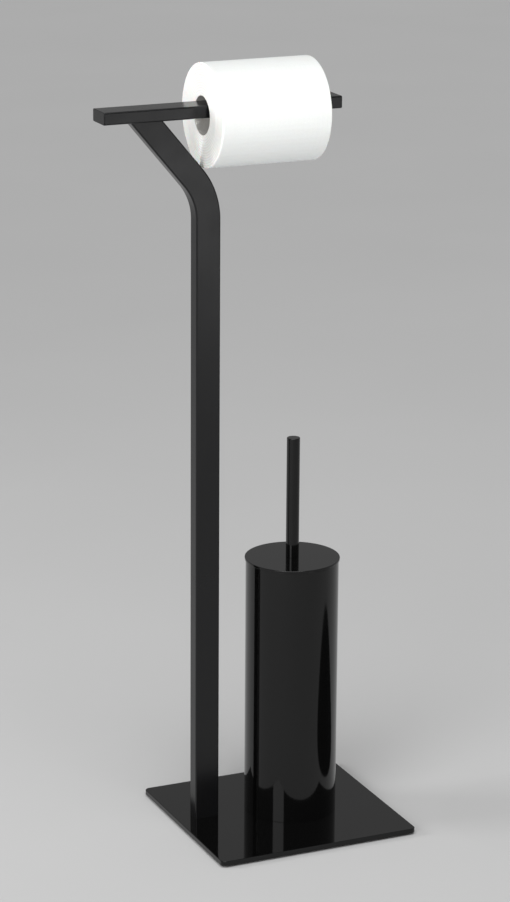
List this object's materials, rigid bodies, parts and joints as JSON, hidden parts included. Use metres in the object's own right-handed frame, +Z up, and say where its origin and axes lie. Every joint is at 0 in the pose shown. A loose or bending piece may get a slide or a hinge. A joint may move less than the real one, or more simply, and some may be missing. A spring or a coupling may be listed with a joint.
{
  "type": "free-standing toilet paper holder",
  "caption": "Free-standing holder: bent post on a square plate, open-ended bar for a toilet roll, and a round container with a lidded toilet brush.",
  "frame": {"origin": "on the floor, under the middle of the base plate", "axes": "+Z up, +X along the roll bar towards its free end, +Y towards the back"},
  "size_m": [0.288, 0.2, 0.7654],
  "materials": {
    "mat_rubber": "matte",
    "plate_lacquer": "gloss",
    "frame_lacquer": "satin",
    "container_lacquer": "gloss",
    "plain_steel": "satin",
    "zinc_steel": "satin",
    "brass_insert": "satin",
    "black_plastic": "satin",
    "white_plastic": "satin",
    "nylon_bristle": "matte",
    "core_board": "matte",
    "tissue": "matte"
  },
  "bodies": {
    "stand": {"anti_slip_mat": "mat_rubber", "base_plate": "plate_lacquer", "post_tube": "frame_lacquer", "post_foot_block": "plain_steel", "post_screws": "zinc_steel", "roll_bar": "frame_lacquer", "bar_left_end": "frame_lacquer", "bar_right_end": "frame_lacquer", "locating_disc": "black_plastic", "disc_screw": "zinc_steel"},
    "container": {"container_tube": "container_lacquer", "container_floor": "container_lacquer", "liner_cup": "black_plastic"},
    "brush": {"lid_disc": "container_lacquer", "lid_collar": "black_plastic", "lid_nut": "zinc_steel", "brush_rod": "zinc_steel", "handle_bush": "brass_insert", "handle_tube": "container_lacquer", "handle_cap": "container_lacquer", "brush_core": "white_plastic", "bristles": "nylon_bristle"},
    "roll": {"roll_core": "core_board", "paper_roll": "tissue"}
  },
  "joints": [
    {"name": "roll_spin", "type": "hinge", "parent": "stand", "child": "roll", "pos_m": [-0.023, 0.014, 0.71537], "axis": [1, 0, 0], "continuous": true},
    {"name": "container_lift", "type": "slide", "parent": "stand", "child": "container", "axis": [0, 0, 1], "range_m": [0, 0.012]},
    {"name": "brush_lift", "type": "slide", "parent": "container", "child": "brush", "axis": [0, 0, 1], "range_m": [0, 0.252]}
  ]
}
